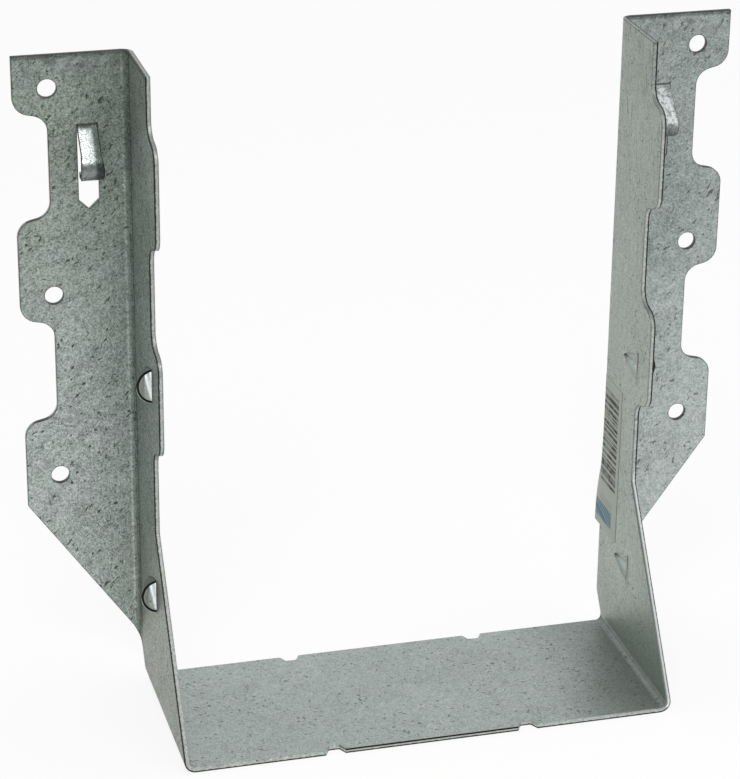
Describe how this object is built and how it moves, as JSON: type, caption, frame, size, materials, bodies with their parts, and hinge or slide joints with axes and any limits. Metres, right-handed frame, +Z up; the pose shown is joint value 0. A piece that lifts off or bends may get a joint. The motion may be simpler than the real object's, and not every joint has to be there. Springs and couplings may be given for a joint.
{
  "type": "joist hanger",
  "caption": "Face-mount joist hanger folded from galvanised sheet: a U-shaped stirrup with outward nailing flanges, domed nail guides and pierced positioning prongs.",
  "frame": {"origin": "middle of the bounding box's underside: under the seat, midway between the two side flanges, and midway between the seat's front edge and the tips of the prongs", "axes": "+Z up along the flanges; +Y from the joist towards the header that the face flanges are nailed to; +X across the joist, towards the side flange that carries the label"},
  "size_m": [0.173, 0.055, 0.1587],
  "materials": {
    "galvanised_steel": "zinc-coated, fine matt spangle",
    "label_paper": "coated paper, satin"
  },
  "bodies": {
    "root": {"hanger": "galvanised_steel", "label": "label_paper"}
  },
  "joints": []
}
